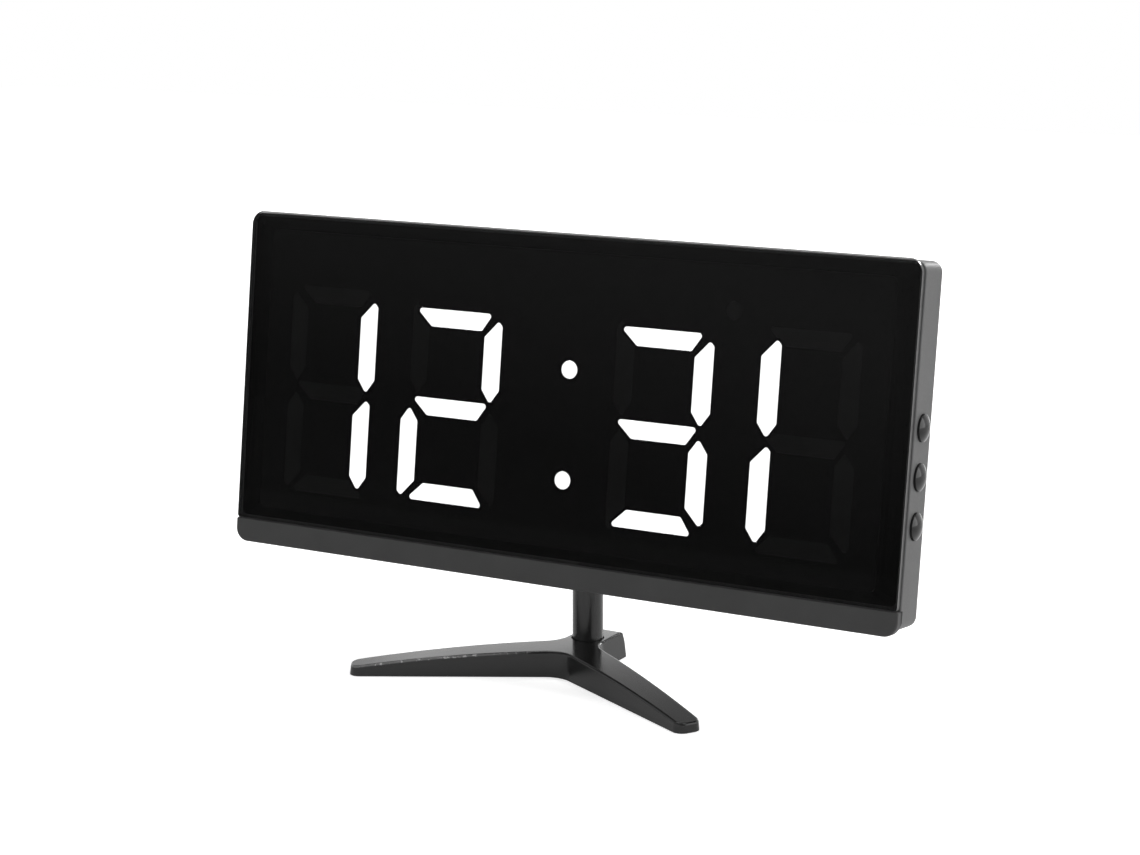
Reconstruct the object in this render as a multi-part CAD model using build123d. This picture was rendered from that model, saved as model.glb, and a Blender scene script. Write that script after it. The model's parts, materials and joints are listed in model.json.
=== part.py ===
from build123d import *
from math import cos, radians, sin, tan
import os

# Slim digital desk clock: a leaning display panel on a round post and a three-legged foot.
# World frame: X across the panel, Y towards the back, Z up, in millimetres. The origin lies on
# the table under the middle of the clock's bounding box.
# Panel frame: X across, Y into the panel from the lens face, Z up from the lens's lower edge.
# Stand frame: the world frame with Y counted from the post's axis.

# Panel pose on the stand
panel_lean = 7.3
post_to_lens = 21.7
lens_edge_height = 31.2
pivot_height = 60.0

# Shared clearances
overrun = 1.0
fit_gap = 0.15
running_gap = 0.05
thread_gap = 0.03
seat_gap = 0.05

# Lens and its tape
lens_width = 180.4
lens_height = 77.9
lens_thickness = 1.25
lens_top_radius = 3.4
lens_bottom_radius = 0.8
lens_edge_round = 0.1
tape_thickness = 0.2
tape_margin = 0.8

# Case frame
rim_width = 0.45
case_top_inset = 0.5
case_radius = 2.6
case_wall = 1.6
case_front_round = 0.35
case_rear_round = 0.6
case_bottom_rise = 0.15
ledge_thickness = 0.75
window_margin = 6.0
window_bottom = 3.2
window_top_margin = 4.3
window_radius = 1.5

# Chin bar
chin_height = 6.0
chin_thickness = 2.2
chin_overhang = 0.3
chin_lip = 1.05
chin_joint_gap = 0.05
chin_top_radius = 0.5
chin_bottom_radius = 3.4
chin_edge_round = 0.45
chin_wall = 1.1
chin_wall_overlap = 1.0
chin_peg_radius = 0.8
chin_peg_shares = (-0.72, -0.24, 0.24, 0.72)

# Display stack
mask_thickness = 0.15
module_gap = 0.1
reflector_thickness = 2.75
insert_depth = 2.1
insert_gap = 0.05
led_width = 1.6
led_height = 0.8
led_thickness = 0.6
stake_radius = 0.8
stake_head_radius = 1.4
stake_head_height = 0.5

# Digits
lit_left_share = -0.3272
lit_right_share = 0.2989
lit_column = 11.3
lit_bottom_share = 0.1316
lit_height = 47.0
unlit_outer_share = 0.7122
unlit_inner_share = 0.3133
unlit_column = 10.5
unlit_bottom_share = 0.1104
unlit_height = 51.7
stroke_width = 4.9
bar_height = 4.3
bar_half_long = 11.0
bar_cut_left = 4.7
bar_cut_right = 3.0
middle_bar_drop = 0.35
nose_inset = 1.1
nose_drop = 1.2
head_slope = 4.0
foot_bevel = 3.4
segment_round = 0.7
stroke_inset = 1.6
stroke_above_middle = 1.8
stroke_below_middle = 0.75
left_stroke_rise = 0.6
right_stroke_rise = 2.4
single_share = 0.6044
single_step = 0.5
single_rise = 0.2
single_length = 22.6
single_pitch = 24.3
trim_gap = 0.6
colon_share = 0.0354
colon_rise = -1.05
colon_half_pitch = 13.15
dot_radius = 2.15
degree_dot_share = 0.5
degree_dot_rise = 5.8

# Circuit board and what it carries
board_thickness = 1.0
board_side_gap = 3.65
board_top_gap = 0.8
board_bottom_gap = 0.9
component_space = 4.4
board_rib_width = 4.0
board_rib_depth = 2.2
board_rib_shares = (0.11, 0.62, 0.8)
board_screw_share = 0.6
board_screw_inset = 2.6
board_screw_length = 3.4
stake_share = 0.17
stake_inset = 3.3
chip_side = 7.0
chip_height = 1.4
chip_lead = 0.9
chip_lead_width = 0.4
chip_lead_count = 8
controller_share = (0.267, 0.706)
driver_length = 10.2
driver_width = 3.9
driver_share = (-0.222, 0.745)
driver_lead_count = 10
crystal_radius = 1.0
crystal_length = 6.0
crystal_share = (0.378, 0.706)
buzzer_radius = 4.5
buzzer_thickness = 3.4
buzzer_hole_radius = 0.9
buzzer_share = (0.522, 0.462)
can_radius = 2.0
can_length = 4.0
can_pitch = 5.4
can_count = 3
can_share = (0.4, 0.154)
resistor_length = 1.6
resistor_width = 0.8
resistor_thickness = 0.45
resistor_pitch = 2.6
resistor_count = 8
resistor_share = (-0.41, 0.847)

# Buttons and switches
button_depth = 5.85
button_share = 0.3797
button_pitch = 11.0
button_radius = 3.1
button_clearance = 0.1
button_skirt = 0.5
button_dome = 1.0
button_travel = 0.4
flange_thickness = 0.8
flange_half_height = 4.5
flange_half_depth = 3.2
stem_radius = 1.2
switch_depth = 3.5
switch_width = 4.7
switch_height = 2.0
plunger_width = 1.6
plunger_height = 1.0
plunger_rise = 0.4
plunger_proud = 0.7
plunger_inside = 0.6
plunger_room = 0.1

# Power socket
socket_width = 8.9
socket_height = 3.2
socket_length = 7.4
socket_shell = 0.3
socket_tongue = 0.7
socket_overhang = 2.4
socket_slot_gap = 0.35
socket_share = 0.178

# Coin cell, its holder and its cap
cell_radius = 10.0
cell_thickness = 3.2
cell_share = (-0.5333, 0.3466)
holder_floor = 0.5
holder_wall = 1.0
holder_gap = 0.3
holder_wall_height = 2.2
contact_width = 4.0
contact_thickness = 0.3
cap_radius = 11.4
cap_gap = 0.1
cap_skirt = 0.7
cap_skirt_wall = 1.0
cap_lug_reach = 1.4
cap_lug_count = 3
cap_lug_angle = 24.0
cap_lug_thickness = 0.6
cap_notch_play = 4.0
cap_turn = 45.0
coin_slot_length = 13.0
coin_slot_width = 1.7
coin_slot_depth = 0.9

# Rear cover
cover_thickness = 1.6
cover_boss_radius = 2.3
cover_boss_inset = 2.3
case_screw_head_radius = 1.9
case_screw_head = 1.0
case_screw_radius = 0.95
case_screw_length = 5.0
press_post_radius = 1.6
press_post_share = 0.733
press_post_inset = 7.0
vent_count = 9
vent_pitch = 3.4
vent_width = 1.4
vent_length = 10.0
vent_share = (0.311, 0.82)

# Tilt bracket and hinge
bracket_half_width = 13.0
bracket_half_height = 9.5
bracket_thickness = 1.6
bracket_corner = 2.5
bracket_screw_x = 9.6
bracket_screw_rise = 6.2
bracket_screw_radius = 1.2
bracket_screw_head_radius = 2.2
bracket_screw_head = 1.0
bracket_screw_length = 4.4
bracket_boss_radius = 2.5
bracket_boss_height = 2.4
ear_thickness = 2.2
ear_radius = 3.4
ear_foot = 2.6
tongue_thickness = 3.0
tongue_radius = 3.3
washer_thickness = 0.25
washer_radius = 3.0
hinge_radius = 1.45
bolt_head_radius = 2.7
bolt_head_height = 2.0
bolt_key_flats = 2.5
bolt_key_depth = 1.2
nut_flats = 5.5
nut_height = 2.4
bolt_end = 0.6

# Post
post_radius = 3.78
post_wall = 1.0
neck_drop = 6.2
neck_height = 1.4
plug_length = 6.0
foot_plug_length = 8.0

# Foot
pad_proud = 0.15
pad_depth = 0.6
pad_radius = 2.1
pad_toe_inset = 4.4
pad_heel_inset = 3.0
foot_top = 6.75
foot_crown_radius = 400.0
foot_draft = 6.0
foot_edge_round = 0.6
leg_reach = 58.3
leg_front_angle = 28.8
leg_back_angle = 33.4
notch_set = 13.6
leg_back_set = 0.75
toe_radius = 2.5
notch_radius = 7.0
neck_half_width = 5.9
neck_radius = 6.0
heel_half_width = 5.65
heel_reach = 10.75
heel_radius = 1.6
heel_slope = 18.0

# Post socket in the foot
socket_ring_radius = 4.08
socket_floor_top = 4.0
socket_floor_bottom = 2.6
screw_well_radius = 4.8
bush_radius = 3.0
bush_flange = 0.4
spigot_radius = 2.25
spring_washer_thickness = 0.4
keeper_washer_thickness = 0.4
keeper_radius = 4.3
post_screw_radius = 1.2
post_screw_head_radius = 2.3
post_screw_head = 1.0
post_screw_length = 7.0
recess_share = 0.62
recess_width_share = 0.24
recess_depth_share = 0.45

# Depths in the panel frame, from the lens face to the back
tape_back = lens_thickness + tape_thickness
mask_front = tape_back - mask_thickness
board_front = tape_back + reflector_thickness
board_back = board_front + board_thickness
cover_front = board_back + component_space
case_depth = cover_front + cover_thickness
ledge_back = tape_back + ledge_thickness
bracket_back = case_depth + bracket_thickness
led_front = board_front - led_thickness

# Widths and heights in the panel frame
lens_half = lens_width / 2
case_half = lens_half + rim_width
inner_half = case_half - case_wall
case_top = lens_height - case_top_inset
inner_top = case_top - case_wall
case_bottom_front = chin_lip - chin_height
case_bottom_rear = case_bottom_front + case_bottom_rise
inner_radius = case_radius - case_wall
window_top = lens_height - window_top_margin
window_half = lens_half - window_margin
module_half = window_half - module_gap
module_bottom = window_bottom + module_gap
module_top = window_top - module_gap
lit_left_x = lit_left_share * lens_half
lit_right_x = lit_right_share * lens_half
lit_bottom = lit_bottom_share * lens_height
lit_top = lit_bottom + lit_height
lit_middle = lit_bottom + lit_height / 2
lit_frame = (lit_column, lit_bottom, lit_top)
unlit_outer_x = unlit_outer_share * lens_half
unlit_inner_x = unlit_inner_share * lens_half
unlit_bottom = unlit_bottom_share * lens_height
unlit_frame = (unlit_column, unlit_bottom, unlit_bottom + unlit_height)
single_x = single_share * lens_half
colon_x = colon_share * lens_half
colon_height = lit_middle + colon_rise
degree_dot_x = degree_dot_share * lens_half
degree_dot_height = lit_top + degree_dot_rise
button_middle = button_share * lens_height
button_heights = [button_middle + (index - 1) * button_pitch for index in range(3)]
button_hole_radius = button_radius + button_clearance
flange_outer = inner_half - seat_gap
flange_inner = flange_outer - flange_thickness
plunger_depth = board_back + plunger_rise + plunger_height / 2
board_half_width = inner_half - board_side_gap
board_top = inner_top - board_top_gap
board_bottom = case_bottom_rear + case_wall + board_bottom_gap
boss_x = inner_half - cover_boss_inset
boss_low = case_bottom_rear + case_wall + cover_boss_inset
boss_high = inner_top - cover_boss_inset


def board_place(share):
    """A place behind the lens, from its shares of the lens's half width and height."""
    across, up = share
    return across * lens_half, up * lens_height


controller_x, controller_height = board_place(controller_share)
driver_x, driver_height = board_place(driver_share)
crystal_x, crystal_height = board_place(crystal_share)
buzzer_x, buzzer_height = board_place(buzzer_share)
can_x, can_height = board_place(can_share)
resistor_x, resistor_height = board_place(resistor_share)
cell_x, cell_height = board_place(cell_share)
vent_x, vent_height = board_place(vent_share)
socket_x = socket_share * lens_half
board_screw_x = board_screw_share * lens_half
stake_x = stake_share * lens_half
press_post_x = press_post_share * lens_half

# Pivot of the tilt hinge in the panel frame
pivot_rise = pivot_height - lens_edge_height
pivot_z = post_to_lens * sin(radians(panel_lean)) + pivot_rise * cos(radians(panel_lean))
pivot_y = post_to_lens * cos(radians(panel_lean)) - pivot_rise * sin(radians(panel_lean))

# Heights on the stand
spigot_end = socket_floor_bottom - spring_washer_thickness
keeper_bottom = spigot_end - keeper_washer_thickness
post_bottom = socket_floor_top + bush_flange
neck_top = pivot_height - neck_drop
tube_top = neck_top - neck_height
tube_bore = post_radius - post_wall


def slab(outline, front, back):
    """Give a flat panel outline its thickness, from one depth to another."""
    return extrude(Plane.XZ.offset(-front) * outline, amount=back - front, dir=(0, 1, 0))


def side_slab(outline, left, right):
    """Give an outline drawn in depth and height its width across the panel."""
    return extrude(Plane.YZ.offset(left) * outline, amount=right - left, dir=(1, 0, 0))


def disc(x, z, radius, front, back):
    """A round of the panel frame, with its axis through the panel."""
    return slab(Pos(x, z) * Circle(radius), front, back)


def column(x, y, radius, low, high):
    """An upright cylinder of the stand."""
    return Pos(x, y, (low + high) / 2) * Cylinder(radius, high - low)


def rod(y, z, radius, left, right):
    """A cylinder that runs across the panel."""
    return side_slab(Pos(y, z) * Circle(radius), left, right)


def rounded_outline(half_width, bottom, top, top_radius, bottom_radius):
    """A rectangle with one radius at its upper corners and one at its lower corners."""
    outline = Pos(0, (bottom + top) / 2) * Rectangle(2 * half_width, top - bottom)
    outline = fillet(outline.vertices().group_by(Axis.Y)[-1], top_radius)
    return fillet(outline.vertices().group_by(Axis.Y)[0], bottom_radius)


def cross_recess(radius, depth):
    """The cross that a screwdriver enters, standing on the XY plane and reaching down."""
    long_side = 2 * radius * recess_share
    short_side = 2 * radius * recess_width_share
    bar = Box(long_side, short_side, 2 * depth)
    return bar + Rot(0, 0, 90) * bar


def screw(head_radius, head_height, shank_radius, shank_length):
    """A pan-head screw along Z, its head's seat at zero and its shank going down."""
    head = column(0, 0, head_radius, 0, head_height)
    head = fillet(head.edges().group_by(Axis.Z)[-1], head_height / 3)
    shank = column(0, 0, shank_radius, -shank_length, 0)
    recess = Pos(0, 0, head_height) * cross_recess(head_radius, head_height * recess_depth_share)
    return head + shank - recess


def rear_screw(x, z, seat, shape):
    """Place a screw in the panel frame, driven in from the back, its head seated at a depth."""
    return Pos(x, seat, z) * Rot(-90, 0, 0) * shape


def group(shapes):
    """Several separate solids that share one node."""
    solids = []
    for shape in shapes:
        solids.extend(shape.solids())
    return Compound(solids)


def segment_face(points):
    """A segment's window from its corners, with every corner rounded."""
    face = make_face(Polyline(*points, close=True))
    return fillet(face.vertices(), segment_round)


def upright(x, top, bottom, side=1, nose_up=True):
    """An upright stroke: a slanted head with its nose on one side, and a pointed foot."""
    half = stroke_width / 2
    points = [
        (half - nose_inset, top),
        (half, top - nose_drop),
        (half, bottom + foot_bevel),
        (0, bottom),
        (-half, bottom + foot_bevel),
        (-half, top - head_slope),
    ]
    if not nose_up:
        points = [(px, top + bottom - pz) for px, pz in points]
    points = [(x + side * px, pz) for px, pz in points]
    length = top - bottom
    lights = [(x, bottom + length / 3), (x, bottom + length * 2 / 3)]
    return segment_face(points), lights


def bar(x, long_edge, hangs=True):
    """A lying stroke: a long edge and a shorter one, below it or above it."""
    drop = -bar_height if hangs else bar_height
    points = [
        (x - bar_half_long, long_edge),
        (x + bar_half_long, long_edge),
        (x + bar_half_long - bar_cut_right, long_edge + drop),
        (x - bar_half_long + bar_cut_left, long_edge + drop),
    ]
    light_z = long_edge + drop / 2
    lights = [(x - bar_half_long / 3, light_z), (x + bar_half_long / 3, light_z)]
    return segment_face(points), lights


def segment(name, x, frame):
    """One segment, by its usual letter, of a digit centred at x with a frame's column and ends."""
    column_x, bottom, top = frame
    middle = (bottom + top) / 2
    if name == "a":
        return bar(x, top)
    if name == "g":
        return bar(x, middle + bar_height / 2 - middle_bar_drop)
    if name == "d":
        return bar(x, bottom, hangs=False)
    side = 1 if name in "bc" else -1
    if name in "bf":
        return upright(x + side * column_x, top - stroke_inset, middle + stroke_above_middle, side)
    rise = right_stroke_rise if name == "c" else left_stroke_rise
    return upright(x + side * column_x, middle - stroke_below_middle, bottom + rise, side, False)


def single_stroke(name, x):
    """One of the two strokes of a digit 1."""
    lower = name == "lower"
    top = lit_top + single_rise - (single_pitch if lower else 0)
    return upright(x + (-single_step if lower else single_step), top, top - single_length)


digit_plan = [
    (-single_x, ["upper", "lower"], -unlit_outer_x, ["a", "g", "d", "f", "e"]),
    (lit_left_x, ["a", "b", "g", "e", "d"], -unlit_inner_x, ["c", "f"]),
    (lit_right_x, ["a", "b", "g", "c", "d"], unlit_inner_x, ["e", "f"]),
    (single_x, ["upper", "lower"], unlit_outer_x, ["a", "g", "d", "b", "c"]),
]


def display_windows():
    """All windows of the display: the lit ones by digit, the colon, the unlit ones, the lights."""
    lit = []
    unlit = []
    lights = []
    for lit_x, lit_names, unlit_x, unlit_names in digit_plan:
        lit_faces = []
        for name in lit_names:
            single = name in ("upper", "lower")
            face, spots = single_stroke(name, lit_x) if single else segment(name, lit_x, lit_frame)
            lit_faces.append(face)
            lights.extend(spots)
        for name in unlit_names:
            face, spots = segment(name, unlit_x, unlit_frame)
            for lit_face in lit_faces:
                face = face - offset(lit_face, amount=trim_gap)
            unlit.append(face)
            lights.extend(spots)
        lit.append(lit_faces)
    colon = []
    for side in (-1, 1):
        spot = (colon_x, colon_height + side * colon_half_pitch)
        colon.append(Pos(*spot) * Circle(dot_radius))
        lights.append(spot)
    degree_spot = (degree_dot_x, degree_dot_height)
    unlit.append(Pos(*degree_spot) * Circle(dot_radius))
    lights.append(degree_spot)
    return lit, colon, unlit, lights


def window_inserts(faces):
    """The clear light guides that fill a set of windows."""
    guides = []
    for face in faces:
        for part_face in face.faces():
            outline = offset(part_face, amount=-insert_gap)
            guides.append(slab(outline, mask_front, mask_front + insert_depth))
    return group(guides)


def cut_windows(plate, faces, front, back):
    """Cut every display window through a plate."""
    for face in faces:
        plate = plate - slab(face, front - overrun, back + overrun)
    return plate


def module_outline():
    """Outline of the display module, inside the frame's window."""
    return rounded_outline(module_half, module_bottom, module_top, window_radius, window_radius)


def make_display_mask(faces):
    """Thin black film on the reflector, open at each window."""
    return cut_windows(slab(module_outline(), mask_front, tape_back), faces, mask_front, tape_back)


def stake_places():
    """Where the reflector's pins pass through the board."""
    heights = (module_bottom + stake_inset, module_top - stake_inset)
    return [(x, z) for x in (-stake_x, stake_x) for z in heights]


def board_screw_places():
    """Where the board is screwed to the reflector."""
    heights = (module_bottom + board_screw_inset, module_top - board_screw_inset)
    return [(x, z) for x in (-board_screw_x, board_screw_x) for z in heights]


def make_reflector_block(faces):
    """White block with one light box behind each window, and pins staked over the board."""
    block = cut_windows(slab(module_outline(), tape_back, board_front), faces, tape_back, board_front)
    for x, z in stake_places():
        block += disc(x, z, stake_radius, board_front, board_back)
        block += disc(x, z, stake_head_radius, board_back, board_back + stake_head_height)
    pilot_front = board_back - board_screw_length
    for x, z in board_screw_places():
        block -= disc(x, z, case_screw_radius + thread_gap, pilot_front, board_front + overrun)
    return block


def make_led_chips(lights):
    """The light-emitting chips on the board's front, inside the light boxes."""
    chip = Rectangle(led_width, led_height)
    return group([slab(Pos(x, z) * chip, led_front, board_front) for x, z in lights])


def make_front_lens():
    """Smoked front plate with softened front edges."""
    outline = rounded_outline(lens_half, 0, lens_height, lens_top_radius, lens_bottom_radius)
    lens = slab(outline, 0, lens_thickness)
    return fillet(lens.edges().group_by(Axis.Y)[0], lens_edge_round)


def make_lens_tape():
    """Adhesive frame that holds the lens on the case's ledge."""
    outer = rounded_outline(
        lens_half - tape_margin, tape_margin, case_top - tape_margin, window_radius, window_radius
    )
    inner = rounded_outline(window_half, window_bottom, window_top, window_radius, window_radius)
    return slab(outer - inner, lens_thickness, tape_back)


def case_section(depth, inset):
    """The case's outline at a depth, drawn in by an inset. Its lower edge rises towards the back."""
    travel = (depth - lens_thickness) / (case_depth - lens_thickness)
    bottom = case_bottom_front + case_bottom_rise * travel + inset
    radius = case_radius - inset
    outline = rounded_outline(case_half - inset, bottom, case_top - inset, radius, radius)
    return Plane.XZ.offset(-depth) * outline


def case_block(front, back, inset):
    """A block of the case's tapering form between two depths."""
    return loft([case_section(front, inset), case_section(back, inset)], ruled=True)


def boss_places():
    """Where the rear cover is screwed to the case frame."""
    return [(x, z) for x in (-boss_x, boss_x) for z in (boss_low, boss_high)]


def chin_pegs(radius, front, back):
    """The chin bar's pegs, or with a larger radius the holes for them."""
    height = -chin_height / 2
    pegs = [disc(share * lens_half, height, radius, front, back) for share in chin_peg_shares]
    return pegs


def make_case_frame():
    """Case frame: side walls, ledge behind the lens, seat of the chin bar, bosses and ribs."""
    outer = case_block(lens_thickness, case_depth, 0)
    outer = fillet(outer.edges().group_by(Axis.Y)[0], case_front_round)
    outer = fillet(outer.edges().group_by(Axis.Y)[-1], case_rear_round)
    frame = outer - case_block(ledge_back, case_depth + overrun, case_wall)
    chin_wall_outline = Pos(0, (case_bottom_front + chin_wall_overlap) / 2) * Rectangle(
        2 * case_half, chin_wall_overlap - case_bottom_front
    )
    frame += outer & slab(chin_wall_outline, chin_thickness, chin_thickness + chin_wall)
    chin_seat = Pos(0, -chin_height) * Rectangle(2 * case_half + overrun, 2 * chin_height)
    frame -= slab(chin_seat, lens_thickness - overrun, chin_thickness)
    tape_room = rounded_outline(
        lens_half - tape_margin, tape_margin, case_top - tape_margin, window_radius, window_radius
    )
    frame -= slab(tape_room, lens_thickness - overrun, tape_back)
    window = rounded_outline(window_half, window_bottom, window_top, window_radius, window_radius)
    frame -= slab(window, lens_thickness - overrun, ledge_back + overrun)
    for x, z in boss_places():
        frame += disc(x, z, cover_boss_radius, ledge_back, cover_front) & outer
    peg_end = chin_thickness + chin_wall
    frame -= group(chin_pegs(chin_peg_radius + seat_gap, chin_thickness - overrun, peg_end + overrun))
    rib_outline = Rectangle(board_rib_depth, board_rib_width)
    for share in board_rib_shares:
        for side in (-1, 1):
            rib = Pos(side * (window_half + board_rib_depth / 2), share * lens_height) * rib_outline
            frame += slab(rib, ledge_back, board_front)
    for x, z in boss_places():
        pilot_front = case_depth - case_screw_head - case_screw_length
        frame -= disc(x, z, case_screw_radius + thread_gap, pilot_front, cover_front + overrun)
    for z in button_heights:
        frame -= rod(button_depth, z, button_hole_radius, inner_half - overrun, case_half + overrun)
    socket_slot = RectangleRounded(
        socket_width + 2 * socket_slot_gap,
        socket_height + 2 * socket_slot_gap,
        socket_height / 2,
    )
    slot_plane = Plane.XY.offset(case_bottom_front - overrun)
    slot_place = Pos(socket_x, board_back + socket_height / 2)
    slot_reach = case_wall + case_bottom_rise + 2 * overrun
    frame -= extrude(slot_plane * slot_place * socket_slot, amount=slot_reach)
    return frame


def make_chin_bar():
    """Chin bar under the lens, flush with its face, with pegs through the case frame."""
    outline = rounded_outline(
        lens_half + chin_overhang, -chin_height, -chin_joint_gap, chin_top_radius, chin_bottom_radius
    )
    chin = slab(outline, 0, chin_thickness)
    chin = fillet(chin.edges().group_by(Axis.Y)[0], chin_edge_round)
    for peg in chin_pegs(chin_peg_radius, chin_thickness, chin_thickness + chin_wall):
        chin += peg
    return chin


def make_circuit_board():
    """Circuit board with notches round the case's bosses, and holes for pins and screws."""
    outline = Pos(0, (board_bottom + board_top) / 2) * Rectangle(
        2 * board_half_width, board_top - board_bottom
    )
    board = slab(outline, board_front, board_back)
    notch = cover_boss_radius + fit_gap
    for x, z in boss_places():
        edge = board_top if z > lit_middle else board_bottom
        near = min(z - notch, edge)
        far = max(z + notch, edge)
        cut = Pos(x, (near + far) / 2) * Rectangle(2 * notch, far - near)
        board -= slab(cut, board_front - overrun, board_back + overrun)
    for x, z in stake_places():
        board -= disc(x, z, stake_radius + seat_gap, board_front - overrun, board_back + overrun)
    for x, z in board_screw_places():
        board -= disc(x, z, case_screw_radius + fit_gap, board_front - overrun, board_back + overrun)
    return board


def make_board_screws():
    """Small screws that hold the board to the reflector block."""
    shape = screw(case_screw_head_radius, case_screw_head, case_screw_radius, board_screw_length)
    return group([rear_screw(x, z, board_back, shape) for x, z in board_screw_places()])


def leaded_chip(x, z, length, width, lead_count, four_sides):
    """A flat chip on the board's back with rows of short leads."""
    body = slab(Pos(x, z) * Rectangle(length, width), board_back + seat_gap, board_back + chip_height)
    pitch = length / (lead_count + 1)
    for index in range(lead_count):
        along = (index - (lead_count - 1) / 2) * pitch
        for side in (-1, 1):
            reach = side * (width / 2 + chip_lead / 2)
            lead = Pos(x + along, z + reach) * Rectangle(chip_lead_width, chip_lead)
            body += slab(lead, board_back, board_back + chip_height / 3)
            if four_sides:
                lead = Pos(x + reach, z + along) * Rectangle(chip_lead, chip_lead_width)
                body += slab(lead, board_back, board_back + chip_height / 3)
    return body


def make_clock_crystal():
    """Timekeeping crystal: a small can that lies on the board."""
    low = crystal_height - crystal_length / 2
    can = column(0, 0, crystal_radius, low, low + crystal_length)
    can = fillet(can.edges().group_by(Axis.Z)[-1], crystal_radius / 3)
    return Pos(crystal_x, board_back + crystal_radius, 0) * can


def make_buzzer():
    """Alarm buzzer: a round can with a sound hole."""
    can = disc(buzzer_x, buzzer_height, buzzer_radius, board_back, board_back + buzzer_thickness)
    can = fillet(can.edges().group_by(Axis.Y)[-1], buzzer_hole_radius / 2)
    hole_front = board_back + buzzer_thickness / 2
    return can - disc(buzzer_x, buzzer_height, buzzer_hole_radius, hole_front, cover_front)


def make_capacitors():
    """Row of small round capacitors on square bases."""
    row = []
    for index in range(can_count):
        x = can_x + (index - (can_count - 1) / 2) * can_pitch
        square = Pos(x, can_height) * Rectangle(2 * can_radius, 2 * can_radius)
        base = slab(square, board_back, board_back + can_length / 4)
        row.append(base + disc(x, can_height, can_radius, board_back, board_back + can_length))
    return group(row)


def make_resistors():
    """Row of chip resistors for the segment currents."""
    outline = Rectangle(resistor_width, resistor_length)
    row = []
    for index in range(resistor_count):
        x = resistor_x + (index - (resistor_count - 1) / 2) * resistor_pitch
        place = Pos(x, resistor_height)
        row.append(slab(place * outline, board_back, board_back + resistor_thickness))
    return group(row)


def make_switch_bodies():
    """Side-push switches on the board's edge, each with a slot for its plunger."""
    bodies = []
    for z in button_heights:
        body_x = board_half_width - switch_depth / 2
        outline = Pos(body_x, z) * Rectangle(switch_depth, switch_width)
        body = slab(outline, board_back, board_back + switch_height)
        slot_inner = board_half_width - plunger_inside - button_travel - plunger_room
        slot = Pos(plunger_depth, z) * Rectangle(
            plunger_height + 2 * running_gap, plunger_width + 2 * running_gap
        )
        bodies.append(body - side_slab(slot, slot_inner, board_half_width + overrun))
    return group(bodies)


def make_plunger(z):
    """Sliding plunger of one switch."""
    outline = Pos(plunger_depth, z) * Rectangle(plunger_height, plunger_width)
    return side_slab(outline, board_half_width - plunger_inside, board_half_width + plunger_proud)


def make_button(z):
    """Side button: domed cap, flange inside the wall and stem that pushes the plunger."""
    cap_end = case_half + button_skirt
    cap = rod(button_depth, z, button_radius, flange_inner, cap_end)
    dome_radius = (button_radius ** 2 + button_dome ** 2) / (2 * button_dome)
    dome = Pos(cap_end + button_dome - dome_radius, button_depth, z) * Rot(0, 90, 0) * Sphere(dome_radius)
    dome_room = rod(button_depth, z, button_radius, cap_end, cap_end + 2 * button_dome)
    flange = Pos(button_depth, z) * Rectangle(2 * flange_half_depth, 2 * flange_half_height)
    stem_end = board_half_width + plunger_proud
    button = cap + (dome & dome_room) + side_slab(flange, flange_inner, flange_outer)
    return button + rod(button_depth, z, stem_radius, stem_end, flange_inner)


def make_power_socket():
    """Power inlet: a flat rounded metal shell with a contact tongue, on the board's back."""
    centre = Pos(socket_x, board_back + socket_height / 2)
    mouth = board_bottom - socket_overhang
    outer = RectangleRounded(socket_width, socket_height, socket_height / 2 - seat_gap)
    bore = RectangleRounded(
        socket_width - 2 * socket_shell,
        socket_height - 2 * socket_shell,
        socket_height / 2 - socket_shell - seat_gap,
    )
    tongue = Rectangle(socket_width - 6 * socket_shell, socket_tongue)
    plane = Plane.XY.offset(mouth)
    shell = extrude(plane * centre * outer, amount=socket_length)
    shell -= extrude(plane * centre * bore, amount=socket_length - socket_shell)
    tongue_plane = Plane.XY.offset(mouth + socket_shell)
    return shell + extrude(tongue_plane * centre * tongue, amount=socket_length - socket_shell)


def make_battery_holder():
    """Round plastic tray for the coin cell, open at one side for its contact."""
    wall_inner = cell_radius + holder_gap
    wall_outer = wall_inner + holder_wall
    floor_back = board_back + holder_floor
    tray = disc(cell_x, cell_height, wall_outer, board_back, floor_back + holder_wall_height)
    tray -= disc(cell_x, cell_height, wall_inner, floor_back, cover_front)
    opening = Pos(cell_x, cell_height + wall_outer) * Rectangle(2 * contact_width, 2 * contact_width)
    return tray - slab(opening, floor_back, cover_front)


def make_battery_contact():
    """Metal contact: a strip that stands on the board beside the cell and bears on its rim."""
    low = cell_height + cell_radius + seat_gap
    strip = Pos(cell_x, low + contact_thickness / 2) * Rectangle(contact_width, contact_thickness)
    contact = slab(strip, board_back + holder_floor, board_back + holder_floor + cell_thickness)
    foot_length = holder_gap + holder_wall + contact_width - holder_gap
    foot = Pos(cell_x, low + foot_length / 2) * Rectangle(contact_width, foot_length)
    return contact + slab(foot, board_back + holder_floor, board_back + holder_floor + contact_thickness)


def make_coin_cell():
    """Coin cell that keeps the time while the clock is unplugged."""
    front = board_back + holder_floor
    cell = disc(cell_x, cell_height, cell_radius, front, front + cell_thickness)
    return fillet(cell.edges().group_by(Axis.Y)[-1], holder_floor)


def lug_sectors(inner, outer, front, back, turn, width):
    """Sectors of a ring round the cell's axis: the cap's lugs, or the notches that let them in."""
    sectors = []
    for index in range(cap_lug_count):
        middle = turn + index * 360 / cap_lug_count
        wedge_points = [(0, 0)]
        for angle in (middle - width / 2, middle + width / 2):
            wedge_points.append((2 * outer * cos(radians(angle)), 2 * outer * sin(radians(angle))))
        wedge = make_face(Polyline(*wedge_points, close=True))
        sector = (Circle(outer) - Circle(inner)) & wedge
        sectors.append(slab(Pos(cell_x, cell_height) * sector, front, back))
    return sectors


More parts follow.
